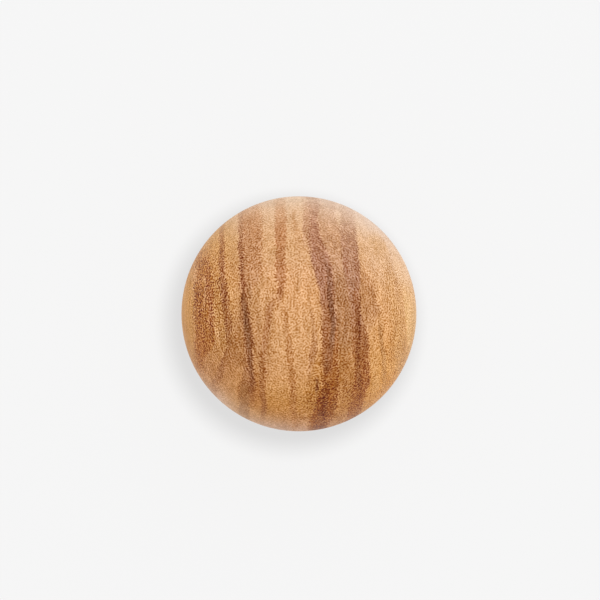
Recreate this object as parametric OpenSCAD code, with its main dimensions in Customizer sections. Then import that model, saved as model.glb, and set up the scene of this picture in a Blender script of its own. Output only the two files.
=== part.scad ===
// A wooden ball, turned from one block and sanded round.
// The origin is the ball's centre. The grain runs along Y, and +Z points up
// from the surface that the ball lies on.

/* [Ball] */
// Diameter of the ball
ball_d = 50; // [20:1:100]

/* [Hidden] */
// Facets round the ball's equator in a preview
$fn = 180;

// The whole ball is one solid piece of wood, with no hole, stem or flat.
module ball() {
    color([0.77, 0.56, 0.38]) sphere(d = ball_d);
}

ball();
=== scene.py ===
# %% [markdown]
# # A turned wooden ball
# The real object is one piece of wood: a block is sawn so that its growth layers stand
# nearly upright, turned round on a lathe, sanded, and wiped with a thin satin finish.
# Nothing is joined to it, so the whole lesson is about one surface and one material.
# The ball comes from the CAD frame at its real size. Here it gets a finer skin, solid
# wood that runs right through it, a pale sheet to lie on, soft light and a camera.

# %% Load the frame
import bpy
from math import copysign, cos, pi, radians, sin, sqrt
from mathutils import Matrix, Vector


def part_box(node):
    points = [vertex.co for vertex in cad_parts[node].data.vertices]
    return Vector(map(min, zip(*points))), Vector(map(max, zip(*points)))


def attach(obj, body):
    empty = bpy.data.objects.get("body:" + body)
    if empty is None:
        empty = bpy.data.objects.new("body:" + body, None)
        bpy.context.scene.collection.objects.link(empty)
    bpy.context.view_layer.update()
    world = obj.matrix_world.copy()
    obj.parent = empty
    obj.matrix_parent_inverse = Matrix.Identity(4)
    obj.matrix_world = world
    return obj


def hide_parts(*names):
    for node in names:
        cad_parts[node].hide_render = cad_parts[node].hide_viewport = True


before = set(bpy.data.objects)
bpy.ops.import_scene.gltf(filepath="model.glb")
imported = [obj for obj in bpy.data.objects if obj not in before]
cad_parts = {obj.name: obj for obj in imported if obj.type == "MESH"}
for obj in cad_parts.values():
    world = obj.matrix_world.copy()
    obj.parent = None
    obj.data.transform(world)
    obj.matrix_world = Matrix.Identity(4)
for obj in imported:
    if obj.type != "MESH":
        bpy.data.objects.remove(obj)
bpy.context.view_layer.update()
low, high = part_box("ball")
MM = 0.001
ball_radius = (high.z - low.z) / 2
radius_mm = ball_radius / MM
sheet_level = low.z
print("ball radius", round(radius_mm, 3), "mm")

# %% [markdown]
# The photograph looks straight down on the ball, with the grain running up the picture.
# A 100 mm lens stands a little over a third of a metre away, so the edge of the ball
# that shows lies slightly in front of its widest circle. The ball sits below the middle
# of the picture, which is done by moving the camera sideways, with no lens shift.

# %% Camera
LENS = 100
SENSOR = 36
CAMERA_DISTANCE = 355.6 * MM
CAMERA_SIDE = 0.23 * MM
CAMERA_UP = 2.93 * MM
NEAREST = 0.01
FURTHEST = 20


def add_camera():
    """The camera looks along -Z, with +Y up in the picture."""
    data = bpy.data.cameras.new("overhead_camera")
    data.lens = LENS
    data.sensor_width = SENSOR
    data.clip_start = NEAREST
    data.clip_end = FURTHEST
    camera = bpy.data.objects.new("overhead_camera", data)
    camera.location = (CAMERA_SIDE, CAMERA_UP, CAMERA_DISTANCE)
    bpy.context.scene.collection.objects.link(camera)
    return camera


scene = bpy.context.scene
scene.camera = add_camera()
scene.view_settings.view_transform = "Standard"
print("camera at", [round(c / MM, 1) for c in scene.camera.location], "mm")

# %% [markdown]
# Shader maths and Geometry Nodes maths are both written as plain Python expressions.
# `Wire` wraps one socket. Adding or multiplying wires adds Math nodes, and the reflected
# forms let `1 - mask` work as it reads.


# %% Wires
class Wire:
    """A socket of a node tree that Python's operators work on."""

    def __init__(self, bench, socket):
        self.bench = bench
        self.socket = socket

    def math(self, operation, *values):
        """The result of a Math node on numbers and wires."""
        return self.bench.node("ShaderNodeMath", {"operation": operation}, dict(enumerate(values)))

    def __add__(self, other):
        return self.math("ADD", self, other)

    __radd__ = __add__

    def __sub__(self, other):
        return self.math("SUBTRACT", self, other)

    def __rsub__(self, other):
        return self.math("SUBTRACT", other, self)

    def __mul__(self, other):
        return self.math("MULTIPLY", self, other)

    __rmul__ = __mul__

    def __truediv__(self, other):
        return self.math("DIVIDE", self, other)

    def __rtruediv__(self, other):
        return self.math("DIVIDE", other, self)

    def root(self):
        return self.math("SQRT", self)

    def least(self, other):
        return self.math("MINIMUM", self, other)


print("made a class:", Wire.__doc__)

# %% [markdown]
# `Bench` is the tree being built. Its one method `node` takes a node's kind, its
# settings, which are set first, and a value or a wire for each socket. The few methods
# after it are short names for nodes that the wood uses again and again. Colours and
# vectors go through Mix and Vector Math nodes, because a Math node turns a colour grey.


# %% The bench
class Bench:
    """A node tree on which wires are joined, for a material or for Geometry Nodes."""

    def __init__(self, tree):
        self.tree = tree

    def node(self, kind, settings=None, sockets=None, out=None):
        """Adds a node and returns the wire from its output `out`, or from its first one in use."""
        made = self.tree.nodes.new(kind)
        for name, value in (settings or {}).items():
            if name == "stops":
                self.set_stops(made.color_ramp, value)
            else:
                setattr(made, name, value)
        for key, value in (sockets or {}).items():
            target = self.find(made.inputs, key)
            if isinstance(value, Wire):
                self.tree.links.new(value.socket, target)
            else:
                target.default_value = value
        if out is None:
            usable = [s for s in made.outputs if s.enabled]
            return Wire(self, usable[0]) if usable else made
        return Wire(self, self.find(made.outputs, out))

    @staticmethod
    def set_stops(ramp, stops):
        """Gives a ramp its stops, each a place from 0 to 1 and a colour, on a smooth curve."""
        ramp.interpolation = "CARDINAL"
        while len(ramp.elements) > 1:
            ramp.elements.remove(ramp.elements[-1])
        for number, (place, value) in enumerate(sorted(stops)):
            element = ramp.elements[0] if number == 0 else ramp.elements.new(place)
            element.position = place
            element.color = value

    @staticmethod
    def find(sockets, key):
        """A socket by its number, its identifier or its name."""
        if isinstance(key, int):
            return sockets[key]
        for socket in sockets:
            if socket.identifier == key:
                return socket
        return sockets[key]

    def give(self, wire):
        """Sends a wire out of a group."""
        self.node("NodeGroupOutput", None, {0: wire})

    def split(self, triple, kind="ShaderNodeSeparateXYZ"):
        """The three numbers in a vector, or in a colour with the node that splits colours."""
        first = self.node(kind, None, {0: triple})
        return [Wire(self, socket) for socket in first.socket.node.outputs]

    def vector(self, operation, *values, **named):
        """The result of a Vector Math node on vectors and colours."""
        sockets = dict(enumerate(values))
        sockets.update(named)
        return self.node("ShaderNodeVectorMath", {"operation": operation}, sockets)

    def ramp(self, value, start, end, low=0.0, high=1.0):
        """Rises smoothly from low to high as value goes from start to end."""
        settings = {"interpolation_type": "SMOOTHSTEP", "clamp": True}
        ends = {"From Min": start, "From Max": end, "To Min": low, "To Max": high}
        return self.node("ShaderNodeMapRange", settings, {"Value": value, **ends})

    def blend(self, amount, first, second):
        """Mixes two colours by amount."""
        settings = {"data_type": "RGBA", "clamp_factor": True}
        sockets = {"Factor_Float": amount, "A_Color": first, "B_Color": second}
        return self.node("ShaderNodeMix", settings, sockets, "Result_Color")


print("made a class:", Bench.__doc__)

# %% [markdown]
# Two helpers start an empty tree and hand over its bench. One makes a node group with
# named inputs, for a shader or for Geometry Nodes, and the other makes a material.


# %% New trees
def new_group(name, kind, inputs, output):
    """An empty node group: its bench, and a wire from each of its inputs."""
    tree = bpy.data.node_groups.new(name, kind)
    for title, value_type in inputs.items():
        tree.interface.new_socket(title, in_out="INPUT", socket_type="NodeSocket" + value_type)
    tree.interface.new_socket(output, in_out="OUTPUT", socket_type="NodeSocket" + output)
    bench = Bench(tree)
    return bench, {title: bench.node("NodeGroupInput", None, None, title) for title in inputs}


def new_material(name):
    """An empty material and its bench."""
    material = bpy.data.materials.new(name)
    material.use_nodes = True
    material.node_tree.nodes.clear()
    return material, Bench(material.node_tree)


print("helpers:", new_group.__name__, "and", new_material.__name__)

# %% [markdown]
# The skin of the ball could be a UV sphere, but that crowds its faces at two poles,
# just where this ball shows its end grain. A cube blown up to a ball has faces of
# nearly one size all over. Geometry Nodes make it: a finely divided cube, each corner
# turned into an angle so that the cells stay even, then pushed out to the radius.

# %% The skin of the ball
CELLS = 120


def ball_tree():
    """A Geometry Nodes tree that blows a divided cube up to a ball."""
    inputs = {"Radius": "Float", "Cells along an edge": "Int", "Finish": "Material"}
    bench, given = new_group("cube_to_ball", "GeometryNodeTree", inputs, "Geometry")
    corners = given["Cells along an edge"] + 1
    counts = {"Vertices X": corners, "Vertices Y": corners, "Vertices Z": corners}
    cube = bench.node("GeometryNodeMeshCube", None, {"Size": (2, 2, 2), **counts}, "Mesh")
    place = bench.node("GeometryNodeInputPosition")
    angle = bench.vector("SCALE", place, Scale=pi / 4)
    even = bench.vector("TANGENT", angle)
    outward = bench.vector("NORMALIZE", even)
    skin = bench.vector("SCALE", outward, Scale=given["Radius"])
    ball = bench.node("GeometryNodeSetPosition", None, {"Geometry": cube, "Position": skin})
    ball = bench.node("GeometryNodeSetShadeSmooth", None, {"Geometry": ball})
    ball = bench.node("GeometryNodeRealizeInstances", None, {"Geometry": ball})
    finish = {"Geometry": ball, "Material": given["Finish"]}
    bench.give(bench.node("GeometryNodeSetMaterial", None, finish))
    return bench.tree


def grow(name, tree, inputs):
    """Runs a Geometry Nodes tree once and returns its result as a plain mesh object."""
    holder = bpy.data.objects.new(name + "_maker", bpy.data.meshes.new(name + "_maker"))
    scene.collection.objects.link(holder)
    modifier = holder.modifiers.new("maker", "NODES")
    modifier.node_group = tree
    for socket in tree.interface.items_tree:
        if socket.in_out == "INPUT":
            modifier[socket.identifier] = inputs[socket.name]
    bpy.context.view_layer.update()
    evaluated = holder.evaluated_get(bpy.context.evaluated_depsgraph_get())
    mesh = bpy.data.meshes.new_from_object(evaluated)
    mesh.name = name
    bpy.data.objects.remove(holder)
    made = bpy.data.objects.new(name, mesh)
    scene.collection.objects.link(made)
    return made


print("the ball will have", 6 * CELLS * CELLS, "faces")

# %% [markdown]
# The grain is one solid pattern that runs right through the ball, as in real wood.
# A tree grows in layers round its pith, so a spot's tone depends first on how far it
# lies from the pith line, here well off to the right of the ball. `layer_number` says
# which layer a spot lies in. It takes plain numbers or wires, so the same rule places
# the streaks that were read off the photo and draws them in the shader.

# %% Growth layers
PITH_X = 75
PITH_Z = 5
REACH = 27


def layer_number(x, z, root):
    """How far a spot lies along the growth layers, in millimetres, counted towards the pith."""
    across = x - PITH_X
    above = z - PITH_Z
    return PITH_X - root(across * across + above * above)


def seen_at(x, y):
    """The spot of the ball that shows at x, y of the picture, in millimetres from its centre."""
    eye = scene.camera.location / MM
    sight = Vector((x, y, 0)) - eye
    reach = sight.length_squared
    inward = -eye.dot(sight)
    gap = inward * inward - reach * (eye.length_squared - radius_mm * radius_mm)
    return eye + sight * (inward - sqrt(max(gap, 0))) / reach


def share(distance):
    """A place from -REACH to REACH as a share from 0 to 1, the range of a ramp's stops."""
    return (distance + REACH) / (2 * REACH)


for x in (-20, 0, 20):
    spot = seen_at(x, 0)
    print("seen at", x, "is layer", round(layer_number(spot.x, spot.z, sqrt), 2))

# %% [markdown]
# Each streak is a list of stations down the picture. A station gives the height y, the
# left and right edge there, and how strongly the streak shows. Tones are picture
# levels, one for the top of the ball and one for its foot. The paler, pinkish tones at
# the top are partly the wood's own colour and partly a broad painted highlight from the
# soft light above, and towards the foot the streaks turn to a burnt orange. The tones
# were chosen under a stronger gloss than the ball has now, and LIFT paints back in the
# reflected light that the gloss had added. A blue below zero, in the most burnt
# streaks, takes some of it away again.

# %% Tones and streaks
TONE_GAMMA = 2.2
LIFT = 0.0135


def level(*tones):
    """A picture colour from 0 to 255 as levels from 0 to 1, lifted by a little light."""
    lights = [copysign(abs(tone / 255) ** TONE_GAMMA, tone) for tone in tones]
    return (*[(light + LIFT) ** (1 / TONE_GAMMA) for light in lights], 1)


def streak(soft, top, foot, stations):
    """One streak: the softness of its left and right edge, its two tones and its stations."""
    return {"soft": soft, "top": level(*top), "foot": level(*foot), "stations": stations}


print("a mid brown is", [round(part, 3) for part in level(160, 100, 50)[:3]])

# %% [markdown]
# By the left edge the layers are cut steeply, so one broad brown band fills most of
# that side. It has a paler gap, a darker core and a reddish line at its right.

# %% The left band
LEFT_BAND = [
    # The paler rim beyond it
    streak((0.3, 0.8), (208, 144, 66), (210, 149, 86), [
        (12, -26, -22.2, 0), (8, -26, -22.4, 0.6), (0, -26, -22.5, 0.8), (-8, -26, -22.4, 0.6),
        (-13, -26, -22.2, 0),
    ]),
    # The broad band by the left edge
    streak((0.9, 1.0), (171, 100, -14), (173, 101, 26), [
        (14, -21.3, -19.6, 0.05), (11, -21.8, -19.0, 0.7), (8, -21.9, -18.6, 1),
        (4, -22.2, -18.3, 1), (-3, -22.3, -18.2, 1), (-5, -22.3, -17.9, 1),
        (-7, -22.2, -18.5, 1), (-9, -21.9, -19.8, 0.8), (-12, -21.6, -20.5, 0.4),
        (-15, -21.2, -20.7, 0),
    ]),
    # The paler gap inside it
    streak((0.3, 0.3), (200, 138, 82), (200, 138, 82), [
        (9, -20.5, -19.7, 0), (7, -20.5, -19.7, 0.9), (3, -20.5, -19.7, 0.9),
        (1, -20.5, -19.8, 0),
    ]),
    # Its dark core
    streak((0.7, 0.4), (170, 97, 4), (170, 97, 12), [
        (11, -21.7, -20.7, 0), (9, -21.7, -20.7, 0.5), (0, -21.8, -20.6, 0.9),
        (-3, -21.8, -20.5, 1), (-4.5, -21.8, -19.8, 1), (-7, -21.7, -19.7, 1),
        (-9, -21.6, -20.4, 0.7), (-11, -21.6, -20.7, 0),
    ]),
    # The reddish line that ends it on the right
    streak((0.3, 0.2), (173, 103, 40), (173, 103, 40), [
        (13, -20.0, -19.2, 0), (10, -19.9, -19.1, 0.5), (6, -19.8, -18.8, 0.9),
        (4, -19.7, -18.4, 0.9), (-3, -19.3, -18.1, 0.7), (-6, -19.4, -18.7, 0),
    ]),
]
print("left band:", len(LEFT_BAND), "streaks")

# %% [markdown]
# A thin brown line runs beside it. Below the middle it bends away to the left.

# %% The thin line
THIN_LINE = [
    streak((0.7, 0.6), (165, 101, 48), (158, 95, 44), [
        (21, -16.9, -16.0, 0), (18, -16.9, -16.0, 0.4), (15, -16.9, -15.9, 0.7),
        (12, -16.9, -15.9, 0.85), (8, -17.0, -15.8, 1), (5, -17.0, -15.5, 1),
        (3, -16.6, -15.0, 0.8), (0, -16.3, -14.5, 0.65), (-2, -15.9, -14.2, 0.9),
        (-5, -15.5, -14.1, 0.58), (-7.5, -15.3, -13.9, 0.85), (-9.5, -16.5, -14.6, 0.75),
        (-11, -17.1, -15.2, 0.7), (-14, -18.2, -16.6, 0.45), (-17, -19.2, -17.6, 0.3),
        (-20, -19.6, -18.4, 0),
    ]),
]
print("thin line:", len(THIN_LINE[0]["stations"]), "stations")

# %% [markdown]
# The sharpest line of the ball stands in softer brown clouds: a ground on its left, a
# cloud and a wedge on its right, and a burnt orange ground low down.

# %% The main line
MAIN_LINE = [
    # The brown ground on the left of the line
    streak((1.2, 0.5), (186, 128, 74), (183, 120, 64), [
        (8, -13.6, -12.2, 0), (2, -13.8, -12, 0.4), (-2, -14, -11.8, 0.8),
        (-5, -14.2, -11.5, 0.85), (-10, -15.8, -11, 0.75), (-13, -15.8, -11, 0.25),
        (-17, -15.8, -11, 0.2), (-21, -15, -11, 0.1),
    ]),
    # The brown cloud on its right
    streak((1.6, 1.8), (200, 144, 92), (194, 132, 78), [
        (18, -10, -6, 0), (12, -10, -7.8, 0.35), (5, -10.5, -6, 0.85),
        (0, -10.8, -5.3, 0.8), (-5, -10.3, -5.8, 1), (-10, -9.5, -6, 0.65),
        (-14, -9, -6.5, 0.6), (-18, -9, -6.5, 0),
    ]),
    # The soft brown wedge on the right of the line
    streak((0.3, 1.4), (191, 133, 86), (191, 133, 85), [
        (24, -12, -8.2, 0.2), (21, -12.2, -8.1, 0.6), (18, -12.3, -8.0, 0.9),
        (15, -12.3, -8.0, 1), (12, -12.2, -8.2, 1), (10, -12.1, -7.9, 1),
        (7, -11.9, -8.5, 0.9), (5, -11.6, -10, 0.6), (2, -11.4, -10.3, 0),
    ]),
    # The dark orange ground low down
    streak((0.7, 0.7), (182, 112, 50), (180, 112, 48), [
        (-10, -11.8, -7.2, 0), (-14, -12.6, -7.0, 0.6), (-17, -12.8, -7.0, 0.8),
        (-21, -12.8, -7.0, 0.15), (-24, -12.6, -7.0, 0),
    ]),
    streak((0.6, 0.4), (163, 104, 48), (163, 104, 48), [
        (-12, -12.2, -10.6, 0), (-15, -12.4, -10, 0.7), (-18, -12.7, -10.4, 0.8),
        (-21, -12.9, -10.6, 0.9), (-24, -12.8, -10, 0.4),
    ]),
    # The softer shoulder on the left of the line
    streak((0.5, 0.4), (172, 112, 62), (166, 106, 58), [
        (4, -12.8, -11.8, 0), (0, -12.9, -11.4, 0.7), (-4, -12.2, -11.0, 0.5),
        (-7, -11.8, -10.6, 0.6), (-10, -11.7, -10.6, 0.5), (-13, -12.1, -10.6, 0.7),
        (-17, -12.1, -10.8, 0),
    ]),
    # The line itself
    streak((0.6, 0.9), (152, 89, 42), (148, 84, 36), [
        (24, -12.9, -12.0, 0.15), (21, -12.9, -12.0, 0.3), (18, -12.9, -12.0, 0.55),
        (14, -12.9, -12.0, 0.8), (10, -12.8, -11.9, 0.9), (7, -12.7, -11.5, 1),
        (4, -12.5, -11.1, 1), (1, -12.2, -10.8, 1), (-3, -11.7, -10.1, 1),
        (-6, -11.4, -9.8, 1), (-8, -11.2, -9.7, 1), (-12, -10.9, -9.6, 0.9),
        (-14, -10.8, -9.4, 0.85), (-17, -10.6, -9.4, 0.5), (-20, -10.6, -9.6, 0.1),
    ]),
    # Its dark core
    streak((0.6, 0.9), (140, 92, 54), (138, 88, 46), [
        (6, -12.4, -11.7, 0), (4, -12.3, -11.5, 0.4), (2, -12.1, -11.2, 0.6),
        (0, -11.9, -10.9, 0.7), (-4, -11.4, -10.3, 0.7), (-7, -11.1, -10.2, 0.6),
        (-9, -10.8, -10.0, 0.5), (-13, -10.5, -9.8, 0.3), (-16, -10.4, -9.7, 0),
    ]),
    # A short line that the wedge ends in
    streak((0.3, 0.3), (170, 114, 66), (170, 114, 66), [
        (8, -11.3, -10.5, 0), (6.5, -11.2, -10.3, 0.5), (4.5, -11.1, -10.1, 0.9),
        (3, -11.0, -10.0, 0.7), (1, -11, -10, 0),
    ]),
    # The short burnt line low down on its right
    streak((0.4, 0.4), (170, 108, 60), (165, 100, 42), [
        (-6, -8.2, -7.4, 0), (-8, -8.3, -7.4, 0.6), (-10, -8.3, -7.3, 0.9),
        (-13, -8.3, -7.3, 0.8), (-15, -8.4, -7.3, 0.8), (-17, -8.3, -7.2, 0.9),
        (-20, -8.0, -7.0, 1), (-21.5, -8.2, -7.2, 0.6), (-24, -8.4, -7.6, 0.2),
    ]),
]
print("main line:", len(MAIN_LINE), "streaks")

# %% [markdown]
# The middle is pale. One broad line thins out half way down and a slanting one goes on
# from it. Three more are so faint that they only show as a slightly darker tone.

# %% The lines in the middle
MIDDLE_LINES = [
    # The broad line that thins downwards
    streak((0.3, 0.8), (181, 119, 72), (181, 119, 72), [
        (25, -5, -2.9, 0.1), (23, -5.0, -2.9, 0.3), (20, -5.1, -2.8, 0.5),
        (17, -5.1, -2.7, 0.75), (13, -5, -2.9, 0.72), (9, -4.9, -2.8, 1),
        (6, -4.8, -3, 1), (4, -4.7, -3.5, 0.8), (2, -4.7, -4.0, 0.4), (0, -4.6, -4.3, 0),
    ]),
    # The slanting line that goes on from it
    streak((0.5, 0.5), (184, 124, 76), (184, 122, 74), [
        (5.5, -5.5, -4.3, 0), (4, -5.7, -4.3, 0.3), (3, -6.0, -4.7, 0.5),
        (1, -6.9, -5.5, 0.9), (-1, -7.1, -5.8, 1), (-3, -7.5, -6.2, 0.9),
        (-5, -7.8, -6.3, 0.8), (-8, -8.1, -6.9, 0.5), (-11, -8.2, -7.2, 0),
    ]),
    # Three faint ones
    streak((0.5, 0.5), (198, 138, 85), (178, 112, 52), [
        (3, -3.6, -2.4, 0), (0, -3.5, -2.2, 0.6), (-3, -3.3, -1.9, 0.65), (-6, -2.9, -1.5, 0.65),
        (-9, -2.7, -1.4, 0.75), (-12, -2.3, -0.9, 0.6), (-15, -2.0, -0.6, 0.7),
        (-20, -1.9, -0.5, 0.5), (-24, -1.6, -0.4, 0.4),
    ]),
    streak((0.4, 0.4), (203, 150, 102), (203, 150, 102), [
        (23, -1.6, -0.7, 0), (20, -1.6, -0.7, 0.6), (15, -0.8, 1.0, 0.6),
        (11, -0.5, 0.6, 0.3), (6, -0.4, 0.6, 0.35), (3, -0.5, 0.7, 0),
    ]),
    streak((0.4, 0.4), (196, 140, 90), (183, 122, 72), [
        (2, 2.5, 3.1, 0), (0, 2.5, 3.1, 0.6), (-3, 2.7, 3.5, 0.55), (-6, 2.5, 3.9, 1),
        (-8, 2.3, 3.8, 1), (-10, 2.0, 3.6, 1), (-13, 1.8, 3.2, 0.6), (-16, 1.6, 2.8, 0),
    ]),
]
print("middle:", len(MIDDLE_LINES), "streaks")

# %% [markdown]
# Two dark bands lean to the right, with a mid brown between them. They are pinkish at
# the top and turn to a deep orange brown at the foot. The first is the darker one, with
# a core line down its middle and burnt lines at its foot.

# %% The first dark band
FIRST_DARK_BAND = [
    # The mid brown between the two dark bands
    streak((0.8, 0.8), (191, 140, 101), (184, 119, 54), [
        (25, 3, 8.5, 0.2), (20, 4, 8.0, 0.62), (15, 5, 10.5, 0.87), (10, 6, 11, 1),
        (5, 7, 11.5, 1), (0, 7.5, 11.8, 1), (-9, 7.8, 12.3, 1),
        (-12, 7.9, 12.4, 0.86), (-15, 8, 12.5, 1), (-19, 7.5, 12, 0.5), (-24, 7, 11, 0.3),
    ]),
    # A darker veil over it
    streak((0.8, 0.8), (172, 117, 73), (171, 114, 63), [
        (10, 7, 11, 0), (7, 7.3, 11.5, 0.3), (3, 7.9, 12.5, 0.65), (0, 8.1, 12.8, 0.85),
        (-4, 8.2, 12.8, 0.9), (-7, 8.4, 12.8, 0.4), (-9, 8.4, 12.6, 0),
    ]),
    # The soft brown on the left of the first band, low down
    streak((0.9, 0.6), (186, 124, 58), (184, 118, 44), [
        (-8, 3.2, 5.2, 0), (-12, 2.3, 5.2, 0.5), (-15, 1.8, 5.2, 0.35),
        (-18, 1.8, 4.6, 0.9), (-22, 2, 4, 0.6), (-25, 2, 4, 0.2),
    ]),
    # A short dark line in it
    streak((0.3, 0.3), (155, 95, 42), (155, 95, 42), [
        (-13, 3.7, 4.4, 0), (-14.5, 3.6, 4.4, 0.9), (-16, 3.5, 4.3, 0.9),
        (-18.5, 3.2, 4, 0),
    ]),
    # The soft brown on the left of the first band, high up
    streak((0.6, 0.8), (186, 134, 98), (186, 134, 98), [
        (25, 0.8, 2.2, 0), (22, 0.9, 2.4, 0.5), (18, 0.8, 2.7, 0.7), (15, 1.0, 2.9, 0.4),
        (12, 1.6, 3.1, 0),
    ]),
    # The first dark band
    streak((1.0, 0.9), (168, 113, 82), (155, 83, -26), [
        (25, 1.7, 4.5, 0.15), (22, 2.2, 4.2, 0.55), (20, 2.4, 4.1, 0.8),
        (18, 2.3, 4.4, 0.85), (16, 2.2, 4.9, 0.85), (14, 2.3, 5.6, 0.88),
        (12, 2.4, 6.5, 1), (10, 3.0, 6.9, 0.95), (8, 3.6, 7.2, 0.95), (6, 4.1, 7.5, 0.9),
        (2, 4.9, 7.7, 0.71), (0, 5.0, 7.9, 0.73), (-3, 4.8, 8.1, 1), (-5, 4.8, 8.3, 1),
        (-9, 4.8, 8.3, 1), (-11, 4.9, 8.3, 0.95), (-13, 5.1, 8.4, 0.9),
        (-16, 5.0, 8.4, 1), (-18, 4.0, 8.2, 1), (-20, 3.5, 7.8, 1), (-22, 2.7, 7, 1),
        (-24, 2.3, 6.2, 0.85),
    ]),
    # The darker middle of it, low down
    streak((0.8, 0.8), (150, 92, 52), (150, 86, 36), [
        (-1, 5.4, 7.2, 0), (-3, 5.3, 7.3, 0.3), (-6, 5.2, 7.4, 0.65), (-9, 5.2, 7.4, 0.75),
        (-12, 5.2, 7.4, 0.6), (-14, 5.2, 7.2, 0),
    ]),
    # Its core line
    streak((0.35, 0.35), (142, 91, 60), (138, 86, 44), [
        (13, 4.9, 5.6, 0), (12, 5.0, 5.8, 0.3), (10, 5.3, 6.3, 0.6), (8.5, 5.9, 6.8, 0.8),
        (7, 6.1, 7.0, 0.9), (5, 6.2, 7.1, 1), (3, 6.4, 7.3, 1), (1, 6.7, 7.6, 1),
        (-1.5, 6.9, 7.8, 1), (-3, 6.8, 7.7, 1), (-5, 6.6, 7.5, 0.9), (-7, 6.7, 7.6, 0.5),
        (-9, 6.8, 7.6, 0.2), (-11, 6.8, 7.4, 0),
    ]),
    # Two dark lines at its foot, and one above them
    streak((0.5, 0.5), (138, 69, -30), (138, 69, -30), [
        (-13, 5.4, 6.5, 0), (-15, 5.3, 6.6, 0.6), (-17, 4.9, 6.3, 0.9),
        (-19, 4.7, 6.1, 1), (-21, 4.2, 5.9, 0.95), (-24, 3.2, 5.5, 0.7),
    ]),
    streak((0.4, 0.4), (147, 79, -22), (147, 79, -22), [
        (-13.5, 7.6, 8.4, 0), (-15.5, 7.6, 8.4, 0.8), (-17, 7.3, 8.1, 0.6),
        (-19, 7.0, 7.8, 0.7), (-20.5, 6.8, 7.6, 0.6), (-22.5, 6.4, 7.2, 0),
    ]),
    streak((0.3, 0.3), (150, 92, 45), (150, 92, 45), [
        (-8, 5.2, 6.1, 0), (-9.5, 5.3, 6.2, 0.7), (-11, 5.3, 6.2, 0.7), (-13, 5.3, 6.1, 0),
    ]),
]
print("first dark band:", len(FIRST_DARK_BAND), "streaks")

# %% [markdown]
# The second dark band runs beside the first. A medium brown spreads out from its right
# side, over the middle of the ball only.

# %% The second dark band
SECOND_DARK_BAND = [
    # The medium brown on the right of the band
    streak((0.5, 1.6), (184, 127, 78), (185, 128, 78), [
        (10.5, 12.5, 13.0, 0), (8.5, 12.5, 14.5, 0.7), (7, 12.5, 15.5, 1),
        (5, 12.6, 16.2, 1), (3, 12.8, 16.4, 0.9), (1, 13, 17.2, 0.9), (-1, 13.2, 16.7, 0.7),
        (-3, 13.5, 15.7, 0.55), (-5, 13.8, 14.6, 0),
    ]),
    # The band itself
    streak((0.8, 0.9), (174, 123, 91), (158, 86, -14), [
        (25, 8.8, 11.3, 0), (23, 8.8, 11.5, 0.15), (20, 8.8, 11.9, 0.42),
        (16, 8.9, 12.3, 0.8), (14, 9.1, 12.6, 0.9), (12, 9.4, 12.7, 0.95),
        (10, 9.6, 12.9, 0.95), (6, 10.1, 12.8, 1), (3, 10.7, 12.8, 1),
        (0, 11.0, 13.2, 1), (-2, 11.1, 13.8, 1), (-4, 11.3, 14.4, 1),
        (-6, 11.5, 14.7, 1), (-9, 11.8, 15.0, 0.95), (-11, 11.85, 15.2, 0.9),
        (-13, 11.9, 15, 0.95), (-15, 11.8, 14.9, 1), (-17, 11.6, 14.2, 0.85),
        (-19, 11.0, 13.8, 0.75), (-21, 10.4, 13, 0.75), (-24, 10, 11.8, 0.6),
    ]),
    # Its dark lines
    streak((0.25, 0.25), (164, 110, 76), (164, 110, 76), [
        (13.5, 11.6, 12.3, 0), (12, 11.6, 12.3, 0.7), (9, 11.8, 12.7, 0.9),
        (5, 11.9, 12.9, 0.8), (3, 12, 12.9, 0),
    ]),
    streak((0.3, 0.3), (168, 112, 80), (168, 112, 80), [
        (12.5, 9.6, 10.3, 0), (11, 9.7, 10.4, 0.8), (9, 9.9, 10.6, 0.8), (7, 10.2, 10.9, 0),
    ]),
    streak((0.3, 0.3), (148, 88, 46), (143, 80, 14), [
        (6, 11.7, 12.8, 0), (4, 11.6, 12.9, 0.8), (0, 11.7, 13.1, 0.9), (-4, 12.1, 13.1, 0.9),
        (-8, 12.3, 13.1, 0.6), (-12, 12.2, 13.1, 0.7), (-15, 12.3, 13.3, 0.55),
        (-18, 12, 13, 0),
    ]),
]
print("second dark band:", len(SECOND_DARK_BAND), "streaks")

# %% [markdown]
# The right side is the palest. A band by the edge is soft on its left and ends sharply
# on its right, as a growth layer does where the tree stopped for the winter.

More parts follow.
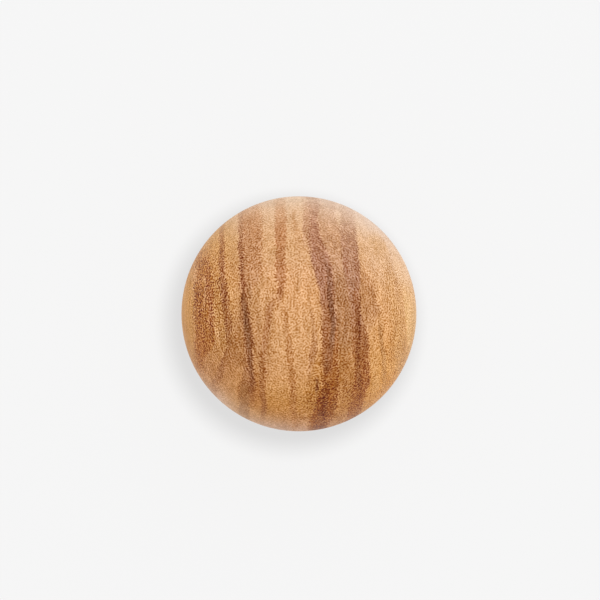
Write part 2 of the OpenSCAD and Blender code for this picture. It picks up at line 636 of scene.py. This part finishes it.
# %% The lines on the right
RIGHT_LINES = [
    # A paler stripe
    streak((0.5, 0.5), (222, 166, 108), (222, 166, 106), [
        (0, 15.2, 17, 0), (-3, 15.2, 17, 0.2), (-12, 15.5, 17.2, 0.25), (-15, 15.5, 17.2, 0.4),
        (-18, 14.9, 16.5, 0),
    ]),
    # A faint line
    streak((0.3, 0.3), (190, 132, 76), (190, 132, 72), [
        (1, 16.9, 17.6, 0), (-2, 16.9, 17.7, 0.5), (-5, 17.1, 17.9, 0.8),
        (-8, 17.5, 18.4, 0.5), (-13, 17.8, 18.7, 0.4), (-16, 17.6, 18.5, 0.3),
        (-18, 17.2, 18, 0),
    ]),
    # The band by the right edge, soft on the left and sharp on the right
    streak((2.4, 0.25), (208, 152, 92), (211, 149, 78), [
        (18, 14.6, 16.5, 0), (16, 15, 17.8, 0.5), (14, 15.6, 18.9, 0.5),
        (12, 16.5, 19.5, 0.25), (10, 17.4, 20, 0.3), (8, 18.2, 20.8, 0.4),
        (6, 19, 21.6, 0.5), (3, 19.4, 22.2, 0.55), (0, 19.6, 22.5, 0.65),
        (-3, 19.8, 22.8, 0.7), (-6, 20.1, 23.0, 0.8), (-9, 20.4, 23.2, 0.9),
        (-12, 20.7, 23.4, 0.7), (-15, 21, 23.4, 0),
    ]),
    # The pale rim beyond it
    streak((0.3, 0.3), (234, 183, 121), (229, 174, 101), [
        (9, 21, 25, 0), (5, 22, 26, 0.45), (0, 22.7, 26, 0.8), (-5, 23.0, 26, 0.7),
        (-9, 23.3, 26, 0.4), (-14, 23, 26, 0),
    ]),
    # The pale patch above it
    streak((0.6, 0.3), (238, 193, 148), (238, 193, 148), [
        (16, 19, 24, 0), (12, 20.0, 24, 0.45), (9, 20.5, 25, 0.65), (6, 21.8, 26, 0.2),
        (4, 22, 26, 0),
    ]),
    # A thin line inside its edge
    streak((0.3, 0.2), (196, 140, 88), (196, 138, 80), [
        (8, 19.8, 20.6, 0), (6.5, 20.2, 21.0, 0.6), (4.5, 20.5, 21.3, 0.7), (2, 21, 22, 0),
    ]),
]
LEFT_AND_MIDDLE = LEFT_BAND + THIN_LINE + MAIN_LINE + MIDDLE_LINES
STREAKS = LEFT_AND_MIDDLE + FIRST_DARK_BAND + SECOND_DARK_BAND + RIGHT_LINES
print(len(STREAKS), "streaks,", sum(len(s["stations"]) for s in STREAKS), "stations")

# %% [markdown]
# Many parts of the finish grow or fade over a stretch of the ball. Each such stretch is
# a span: where it starts and ends, in millimetres, and its value at both ends. The
# figure of the wood, for one, is strong by the left edge and weak at the lower left.

# %% Spans
SPANS = {
    # Along the growth layers
    "left to middle": (-18, -11, 0, 1),
    "middle to right": (8, 18, 0, 1),
    "figure by the left edge": (-12, -21, 0, 1.05),
    "calm left rim": (-21.6, -23.2, 0, 0.55),
    # Up and down the ball
    "top to foot": (8, -17, 0, 1),
    "figure at the top": (20, 6, 0.65, 1),
    "figure in the upper wedge": (7, 11, 0, 0.4),
    # Across the ball
    "figure on the right": (13, 22, 1, 1.55),
    "left side of the wedge": (-13, -11, 0, 1),
    "right side of the wedge": (-8, -6.5, 1, 0),
    # The next span keeps the painted reflection at the top to the right side.
    "painted reflection on the right": (0, 6, 0, 0.31),
    # Aslant
    "figure at the lower left": (-18, -28, 1, 0.6),
    "figure at the lower right": (-15, -20, 1, 1.2),
    # The next two spans place the painted reflection of the pale surroundings.
    "painted reflection at the top": (18, 26, 0, 1),
    "painted reflection at the lower left": (-21.5, -27, 0, 0.27),
    # From back to front and from front to back
    "front": (-5, 2, 0, 1),
    "behind": (8, -10, 0, 1),
}


def span(bench, value, name):
    """The value of a span at a place along it."""
    return bench.ramp(value, *SPANS[name])


print(len(SPANS), "spans")

# %% [markdown]
# Between the streaks lies the ground, which is paler towards the right and more orange
# towards the foot. Three ramps of tones run up the ball, one for each third of it, and
# the shader blends them across. The numbers are heights in millimetres and tones. The
# pale, pinkish tones at the top of all three ramps, and at the foot of the left and
# middle ones, are painted reflection of the pale surroundings, where the ball turns
# away from the eye.

# %% The ground
GROUND_LEFT = [
    (24, (222, 176, 124)), (15, (208, 150, 83)), (10, (199, 136, 70)),
    (5, (200, 138, 72)), (0, (199, 137, 71)), (-5, (200, 139, 77)),
    (-10, (190, 127, 67)), (-15, (200, 141, 89)), (-20, (210, 161, 126)),
    (-25, (218, 172, 136)),
]
GROUND_MIDDLE = [
    (25, (221, 188, 156)), (22, (221, 180, 142)), (15, (217, 166, 118)),
    (12, (213, 161, 112)), (9, (216, 161, 112)), (5, (216, 158, 105)), (0, (222, 165, 112)),
    (-6, (217, 159, 104)), (-12, (217, 156, 98)), (-16, (208, 145, 79)),
    (-20, (196, 131, 63)), (-25, (194, 140, 103)),
]
GROUND_RIGHT = [
    (22, (236, 205, 180)), (16, (227, 185, 147)), (10, (219, 172, 130)),
    (5, (218, 163, 110)), (0, (217, 157, 99)), (-5, (212, 147, 80)),
    (-10, (215, 148, 72)), (-15, (220, 149, 66)), (-22, (209, 145, 77)),
]


def ramp_of_tones(bench, along, tones):
    """A ramp of ground tones along the grain."""
    stops = [(share(y), level(*tone)) for y, tone in tones]
    return bench.node("ShaderNodeValToRGB", {"stops": stops}, {"Fac": share(along)}, "Color")


def ground(bench, layer, along):
    """The tone between the streaks, blended from left to right."""
    thirds = (GROUND_LEFT, GROUND_MIDDLE, GROUND_RIGHT)
    left, middle, right = [ramp_of_tones(bench, along, tones) for tones in thirds]
    tone = bench.blend(span(bench, layer, "left to middle"), left, middle)
    return bench.blend(span(bench, layer, "middle to right"), tone, right)


print("ground tones:", [len(tones) for tones in (GROUND_LEFT, GROUND_MIDDLE, GROUND_RIGHT)])

# %% [markdown]
# Noise makes what no list can hold. Each kind of it is a size in millimetres, how far
# it is drawn out along the grain, and how much of it is added. The streaks were read
# from one side only, so behind the ball they wander more, as real layers do, and the
# pale tones of its two ends, which are painted reflection, reach less far there.

# %% Noise
EDGE_WOBBLE = [(2.2, 6, 0.3), (0.6, 7, 0.3)]
DRIFT_BEHIND = [(13, 2, 3.5)]
SHIFT_BEHIND = [(7, 1, 8)]
PATCHES = [(0.6, 9, 0.38)]
FIBRES = [(0.4, 24, 0.085), (1.2, 12, 0.055)]
CLOUDS = [(3.5, 2, 0.03)]
PORES = [(0.35, 10, 1)]
CURL_GRIT = [(0.33, 1, 0.3)]
ENDS_BEHIND = 0.3


def noise(bench, point, kinds):
    """Noise about 0, added up from one or more kinds of it."""
    made = []
    for size, stretch, amount in kinds:
        shaped = bench.vector("MULTIPLY", point, (1, 1 / stretch, 1))
        lumps = {"Vector": shaped, "Scale": 1 / size, "Detail": 0}
        made.append((bench.node("ShaderNodeTexNoise", None, lumps, "Fac") * 2 - 1) * amount)
    return sum(made[1:], made[0])


def grain_place(bench, point):
    """The growth layer that a spot lies in, and its place along the grain, in millimetres."""
    x, y, z = bench.split(point)
    behind = span(bench, z, "behind")
    layer = layer_number(x, z, Wire.root) + noise(bench, point, EDGE_WOBBLE)
    layer = layer + noise(bench, point, DRIFT_BEHIND) * behind
    along = y * (1 - behind * ENDS_BEHIND)
    return layer, along + noise(bench, point, SHIFT_BEHIND) * behind


print("finest noise", min(size for size, stretch, amount in FIBRES + PORES + CURL_GRIT), "mm")

# %% [markdown]
# The whole ball is covered with a fine curly figure: short dark and pale strokes, about
# half a millimetre apart, that turn every way. A Gabor texture makes such strokes, but
# one sample of it also swells and fades over broad patches. Two samples, taken half a
# stroke apart along the radius, cancel those patches and keep the strokes.

# %% The curly figure
CURL_SCALE = 1.1
CURL_WAVES = 1.72
CURL_SHIFT = 0.26
CURL_EDGE = 0.32


def curly_figure(bench, point):
    """Short curly strokes, from -1 in a dark one to 1 in a pale one."""
    deeper = bench.vector("SCALE", point, Scale=1 + CURL_SHIFT / radius_mm)
    settings = {"gabor_type": "3D"}
    shape = {"Scale": CURL_SCALE, "Frequency": CURL_WAVES, "Anisotropy": 0}
    first = bench.node("ShaderNodeTexGabor", settings, {"Vector": point, **shape}, "Value")
    second = bench.node("ShaderNodeTexGabor", settings, {"Vector": deeper, **shape}, "Value")
    strokes = first + second - 1 + noise(bench, point, CURL_GRIT)
    return bench.ramp(strokes, -CURL_EDGE, CURL_EDGE, -1, 1)


print("strokes repeat about every", round(1 / (CURL_SCALE * CURL_WAVES), 2), "mm")

# %% [markdown]
# A streak reaches the shader as a ramp of its stations along the grain: the red and
# green of a stop hold the layers of the left and right edge, and its blue the strength.
# One group then lays the streak over the tone so far, so that each streak takes only
# a few nodes. The curls bite a little into its edges and patches thin it out in places.
# The stop is split as the colour it is, and the curls make the turn to the foot tone a
# little ragged. Both also let the renderer work out each streak in its turn. It would
# otherwise hold some values of all the streaks at once, more than it has room for.

# %% One streak in the shader
PATCH_MEAN = 1.08
PATCH_CURLS = 0.1
CURL_BITE = 0.2
FOOT_CURLS = 0.3


def stop_at(y, left, right, strength):
    """A station as a stop of a ramp: its place along the grain, then edges and strength."""
    edges = [seen_at(x, y) for x in (left, right)]
    layers = [share(layer_number(spot.x, spot.z, sqrt)) for spot in edges]
    middle = (edges[0].y + edges[1].y) / 2
    return share(middle), (*layers, strength, 1)


def streak_tree():
    """A shader group that lays one streak over a tone."""
    bench, given = new_group("streak", "ShaderNodeTree", {
        "Tone": "Color", "Station": "Color", "Top tone": "Color", "Foot tone": "Color",
        "Layer": "Float", "Foot": "Float", "Patch": "Float", "Bite": "Float",
        "Soft left": "Float", "Soft right": "Float",
    }, "Color")
    left, right, strength = bench.split(given["Station"], "ShaderNodeSeparateColor")
    layer = given["Layer"]
    soft_left = given["Soft left"]
    soft_right = given["Soft right"]
    into = bench.ramp(layer - given["Bite"], left - soft_left, left + soft_left)
    out_of = bench.ramp(layer + given["Bite"], right - soft_right, right + soft_right, 1, 0)
    tint = bench.blend(given["Foot"], given["Top tone"], given["Foot tone"])
    bench.give(bench.blend(into * out_of * strength * given["Patch"], given["Tone"], tint))
    return bench.tree


def lay_streak(bench, group, tone, along, shared, entry):
    """Adds one streak's ramp of stations and its group node, and returns the new tone."""
    stops = [stop_at(*station) for station in entry["stations"]]
    table = bench.node("ShaderNodeValToRGB", {"stops": stops}, {"Fac": share(along)}, "Color")
    soft_left, soft_right = (soft / (4 * REACH) for soft in entry["soft"])
    return bench.node("ShaderNodeGroup", {"node_tree": group}, {
        "Tone": tone, "Station": table, "Top tone": entry["top"], "Foot tone": entry["foot"],
        "Soft left": soft_left, "Soft right": soft_right, **shared,
    })


def lay_streaks(bench, tone, point, layer, along, curls):
    """Lays every streak over the ground, one after another."""
    shared = {
        "Layer": share(layer),
        "Foot": span(bench, bench.split(point)[1] + curls * FOOT_CURLS, "top to foot"),
        "Patch": PATCH_MEAN + noise(bench, point, PATCHES) - curls * PATCH_CURLS,
        "Bite": curls * (CURL_BITE / (2 * REACH)),
    }
    group = streak_tree()
    for entry in STREAKS:
        tone = lay_streak(bench, group, tone, along, shared, entry)
    return tone


print("a station:", [round(part, 3) for part in stop_at(0, -5, 5, 1)[1]])

# %% [markdown]
# Over the streaks come three thin effects. Where the ball turns away at its top right
# and lower left, a painted reflection of the pale surroundings is blended into the
# colour. Fibres draw fine lines along the grain, stronger in dark wood. The curly figure
# is added last. It too is stronger in dark wood, and also by the left and right edge,
# low down on the right and in the soft wedge high up. It shows a little more in blue
# than in red, as the photo has it. In pale wood its dark strokes go deeper than its pale
# ones rise, and MEAN_SQUARE, about the mean of a stroke's square, keeps the wood as a
# whole from getting darker by that.

# %% Painted reflection, fibres and figure
# The tone and the leans of the painted reflection of the pale surroundings.
PAINTED_REFLECTION_TONE = (224, 205, 196)
PAINTED_REFLECTION_TOP_LEAN = 0.4
PAINTED_REFLECTION_FOOT_LEAN = 0.5
FIGURE_FOOT_LEAN = 0.5
FIBRES_IN_BLACK = 1.9
FIBRES_LOST = 1.5
FIGURE = 0.13
FIGURE_IN_BLACK = 1.5
FIGURE_LOST = 0.8
FIGURE_TINT = (0.84, 0.98, 1.15)
DARK_STROKES = 0.45
MEAN_SQUARE = 0.33


def add_painted_reflection(bench, tone, point):
    """Blends a painted pale reflection in at the top right and the lower left."""
    x, y, z = bench.split(point)
    top = span(bench, y + x * PAINTED_REFLECTION_TOP_LEAN, "painted reflection at the top")
    top = top * span(bench, x, "painted reflection on the right")
    foot = span(bench, y + x * PAINTED_REFLECTION_FOOT_LEAN, "painted reflection at the lower left")
    front = span(bench, z, "front")
    return bench.blend((top + foot) * front, tone, level(*PAINTED_REFLECTION_TONE))


def figure_strength(bench, point, layer, green):
    """How much of the curly figure shows, by its place and by how dark the wood is."""
    x, y, z = bench.split(point)
    front = span(bench, z, "front")
    strength = 1 + span(bench, layer, "figure by the left edge") * front
    strength = strength * (1 - span(bench, layer, "calm left rim") * front)
    strength = strength * span(bench, x, "figure on the right")
    strength = strength * span(bench, y, "figure at the top")
    strength = strength * span(bench, x + y, "figure at the lower left")
    right_foot = span(bench, y - x * FIGURE_FOOT_LEAN, "figure at the lower right")
    wedge = span(bench, x, "left side of the wedge") * span(bench, x, "right side of the wedge")
    wedge = wedge * span(bench, y, "figure in the upper wedge") * front
    strength = strength * right_foot * (1 + wedge)
    return strength * (FIGURE_IN_BLACK - green * FIGURE_LOST) * FIGURE


def figured(bench, tone, point, layer, curls):
    """Adds fibres, faint clouds and the curly figure to a tone."""
    green = bench.split(tone)[1]
    fibres = noise(bench, point, FIBRES) * (FIBRES_IN_BLACK - green * FIBRES_LOST)
    tone = bench.vector("ADD", tone, fibres + noise(bench, point, CLOUDS))
    sunk = curls - (curls * curls - MEAN_SQUARE) * (green * DARK_STROKES)
    strokes = sunk * figure_strength(bench, point, layer, green)
    tone = bench.vector("ADD", tone, bench.vector("SCALE", FIGURE_TINT, Scale=strokes))
    return bench.vector("MAXIMUM", tone, (0, 0, 0))


print("figure in the darkest wood:", round(FIGURE * FIGURE_IN_BLACK, 3))

# %% [markdown]
# The finish is a thin satin oil. The tones so far are picture levels, so a Gamma node
# turns them into light for the base colour. Fine pores, drawn out along the grain, dull
# the gloss a little and dent the surface by a hundredth of a millimetre. A weak sheen
# stands for the soft scatter of sanded fibres where the ball turns away from the eye.

# %% The wood
ROUGHNESS = 0.5
PORE_ROUGHNESS = 0.12
PORE_DEPTH = 0.01 * MM
PORE_STRENGTH = 0.5
GLOSS = 0.08
SHEEN = 0.06
SHEEN_ROUGHNESS = 0.5


def striped_wood():
    """The one material of the ball, which runs right through it."""
    material, bench = new_material("striped_wood")
    coordinates = bench.node("ShaderNodeTexCoord", None, None, "Object")
    point = bench.vector("SCALE", coordinates, Scale=1 / MM)
    curls = curly_figure(bench, point)
    layer, along = grain_place(bench, point)
    tone = ground(bench, layer, along)
    tone = lay_streaks(bench, tone, point, layer, along, curls)
    tone = add_painted_reflection(bench, tone, point)
    tone = figured(bench, tone, point, layer, curls)
    light = bench.node("ShaderNodeGamma", None, {"Color": tone, "Gamma": TONE_GAMMA})
    pores = noise(bench, point, PORES)
    dents = {"Height": pores, "Strength": PORE_STRENGTH, "Distance": PORE_DEPTH}
    shader = bench.node("ShaderNodeBsdfPrincipled", None, {
        "Base Color": light,
        "Roughness": ROUGHNESS + pores * PORE_ROUGHNESS,
        "Normal": bench.node("ShaderNodeBump", None, dents),
        "Specular IOR Level": GLOSS,
        "Sheen Weight": SHEEN,
        "Sheen Roughness": SHEEN_ROUGHNESS,
    })
    bench.node("ShaderNodeOutputMaterial", None, {"Surface": shader})
    return material


wood = striped_wood()
print("the wood has", len(wood.node_tree.nodes), "nodes")

# %% [markdown]
# Now the ball itself. The Geometry Nodes tree runs once at the CAD ball's own radius,
# the result is a plain mesh, and it stands for the CAD node, which stays for MuJoCo.

# %% The ball
ball = grow("turned_ball", ball_tree(), {
    "Radius": ball_radius,
    "Cells along an edge": CELLS,
    "Finish": wood,
})
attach(ball, "root")
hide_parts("ball")
print("the ball has", len(ball.data.polygons), "faces")

# %% [markdown]
# The ball lies on a plain pale sheet. Rays that the camera sees, straight or in a
# gloss, find an even pale tone with a little plain diffuse in it, so that the sheet
# keeps the shadow of the ball. Other rays find the level that such a sheet sends back.
# The lamp that casts the shadow hangs nearly straight above the ball. Its light reaches
# the far parts of the sheet aslant, so they catch less, and the sheet's own light makes
# up for just that.

# %% The pale sheet
SHEET_TONE = 0.9216
SHEET_CATCH = 0.06
SHEET_BOUNCE = 0.78
SHEET_SIZE = 6.0
AMBIENT = 0.85
LAMP_ON_SHEET = 2.9
KEY_ON_SHEET = 0.28
SHADOW_HEIGHT = 182 * MM
SHADOW_SIDE = 17.7 * MM
SHADOW_TURN = radians(55)


def grey(amount):
    """A grey as a colour."""
    return (amount, amount, amount, 1)


def seen_rays(bench):
    """1 on rays that show the background: straight ones, glossy ones and clear ones."""
    kinds = ("Is Camera Ray", "Is Glossy Ray", "Is Transmission Ray")
    camera, glossy, clear = [bench.node("ShaderNodeLightPath", None, None, kind) for kind in kinds]
    return (camera + glossy + clear).least(1)


def lamp_spot():
    """Where the lamp that casts the shadow hangs."""
    side = Vector((cos(SHADOW_TURN), sin(SHADOW_TURN), 0)) * SHADOW_SIDE
    return side + Vector((0, 0, SHADOW_HEIGHT))


def own_light(bench):
    """The sheet's own light, least below the lamp and more where the lamp's light slants."""
    below_lamp = SHEET_TONE - SHEET_CATCH * (AMBIENT + LAMP_ON_SHEET + KEY_ON_SHEET)
    place = bench.node("ShaderNodeTexCoord", None, None, "Object")
    settings = {"operation": "DISTANCE"}
    reach = bench.node("ShaderNodeVectorMath", settings, {0: place, 1: lamp_spot()}, "Value")
    slant = (lamp_spot().z - sheet_level) / reach
    return below_lamp + (1 - slant) * (SHEET_CATCH * LAMP_ON_SHEET)


def pale_sheet():
    """The material of the sheet."""
    material, bench = new_material("pale_sheet")
    catching = bench.node("ShaderNodeBsdfDiffuse", None, {"Color": grey(SHEET_CATCH)})
    glowing = bench.node("ShaderNodeEmission", None, {"Color": own_light(bench)})
    shown = bench.node("ShaderNodeAddShader", None, {0: catching, 1: glowing})
    bounce = bench.node("ShaderNodeEmission", None, {"Color": grey(SHEET_BOUNCE)})
    mixed = bench.node("ShaderNodeMixShader", None, {0: seen_rays(bench), 1: bounce, 2: shown})
    bench.node("ShaderNodeOutputMaterial", None, {"Surface": mixed})
    return material


def add_sheet():
    """One flat square, just touching the ball from below."""
    half = SHEET_SIZE / 2
    corners = [(-half, -half), (half, -half), (half, half), (-half, half)]
    mesh = bpy.data.meshes.new("sheet")
    mesh.from_pydata([(x, y, sheet_level) for x, y in corners], [], [(0, 1, 2, 3)])
    mesh.materials.append(pale_sheet())
    made = bpy.data.objects.new("sheet", mesh)
    scene.collection.objects.link(made)
    return made


sheet = add_sheet()
print("the sheet lies at", round(sheet_level / MM, 2), "mm")

# %% [markdown]
# The light is a plain white tent with one weak soft box at the upper right of the
# picture, which together show the wood's colours about as they are written. The lamp
# above lights the sheet alone, so it gives the shadow without brightening the ball. Its
# strength stays the same at any distance, and only the slant of its light matters.

# %% Light
KEY_POWER = 0.9
KEY_SIZE = 0.60
KEY_DISTANCE = 0.55
KEY_TURN = radians(65)
KEY_TILT = radians(55)
SHADOW_SOFTNESS = 18 * MM
SHADOW_POWER = 122


def tent():
    """The white tent round the ball, seen in the tone of the sheet."""
    world = bpy.data.worlds.new("white_tent")
    world.use_nodes = True
    world.node_tree.nodes.clear()
    bench = Bench(world.node_tree)
    seen = bench.node("ShaderNodeBackground", None, {"Color": grey(SHEET_TONE)})
    lighting = bench.node("ShaderNodeBackground", None, {"Color": grey(AMBIENT)})
    mixed = bench.node("ShaderNodeMixShader", None, {0: seen_rays(bench), 1: lighting, 2: seen})
    bench.node("ShaderNodeOutputWorld", None, {"Surface": mixed})
    return world


def add_soft_box():
    """A round soft box that leans over the upper right of the ball."""
    data = bpy.data.lights.new("soft_box", "AREA")
    data.shape = "DISK"
    data.size = KEY_SIZE
    data.energy = KEY_POWER
    lamp = bpy.data.objects.new("soft_box", data)
    toward = Vector((cos(KEY_TURN) * sin(KEY_TILT), sin(KEY_TURN) * sin(KEY_TILT), cos(KEY_TILT)))
    lamp.location = toward * KEY_DISTANCE
    lamp.rotation_euler = toward.to_track_quat("Z", "Y").to_euler()
    scene.collection.objects.link(lamp)
    return lamp


def add_shadow_lamp():
    """The lamp nearly straight above, which lights the sheet alone."""
    data = bpy.data.lights.new("shadow_lamp", "POINT")
    data.shadow_soft_size = SHADOW_SOFTNESS
    data.energy = SHADOW_POWER
    data.use_nodes = True
    data.node_tree.nodes.clear()
    bench = Bench(data.node_tree)
    even = bench.node("ShaderNodeLightFalloff", None, {"Strength": 1.0}, "Constant")
    glow = bench.node("ShaderNodeEmission", None, {"Strength": even})
    bench.node("ShaderNodeOutputLight", None, {"Surface": glow})
    lamp = bpy.data.objects.new("shadow_lamp", data)
    lamp.location = lamp_spot()
    scene.collection.objects.link(lamp)
    only_sheet = bpy.data.collections.new("lit_by_shadow_lamp")
    only_sheet.objects.link(sheet)
    lamp.light_linking.receiver_collection = only_sheet
    return lamp


scene.world = tent()
for lamp in (add_soft_box(), add_shadow_lamp()):
    print(lamp.name, "at", [round(c / MM) for c in lamp.location], "mm")

# %% [markdown]
